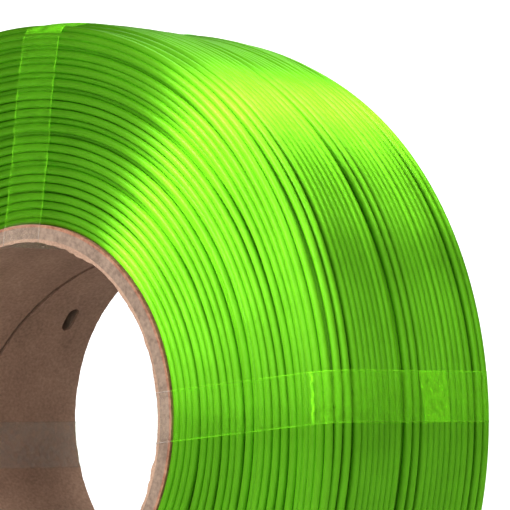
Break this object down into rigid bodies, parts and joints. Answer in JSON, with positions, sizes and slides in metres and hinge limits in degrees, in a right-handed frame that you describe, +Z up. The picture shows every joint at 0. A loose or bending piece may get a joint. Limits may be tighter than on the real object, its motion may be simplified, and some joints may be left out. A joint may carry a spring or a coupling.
{
  "type": "3d printer filament refill coil",
  "caption": "Flangeless coil of 3-D printing filament wound on a spiral cardboard core and held by clear tape straps.",
  "frame": {"origin": "centre of the bore, half way along the cardboard core", "axes": "+Y along the coil's axis with the front facing -Y, +Z up with the coil standing on its rim"},
  "size_m": [0.1721, 0.055, 0.1726],
  "materials": {
    "silk_filament": "bright green silk filament with a soft metallic sheen",
    "core_liner_board": "smooth grey-brown kraft liner, matt",
    "core_board": "pinkish-tan recycled board with a rough cut edge, matt",
    "clear_tape": "thin clear packing tape, slightly hazy and glossy"
  },
  "bodies": {
    "root": {"core_liner": "core_liner_board", "core_body_ply_1": "core_board", "core_body_ply_2": "core_board", "core_body_ply_3": "core_board", "core_body_ply_4": "core_board", "core_outer_ply": "core_board", "filament_winding": "silk_filament", "tape_strap_right": "clear_tape", "tape_strap_top": "clear_tape", "tape_strap_left": "clear_tape", "tape_strap_bottom": "clear_tape"}
  },
  "joints": []
}
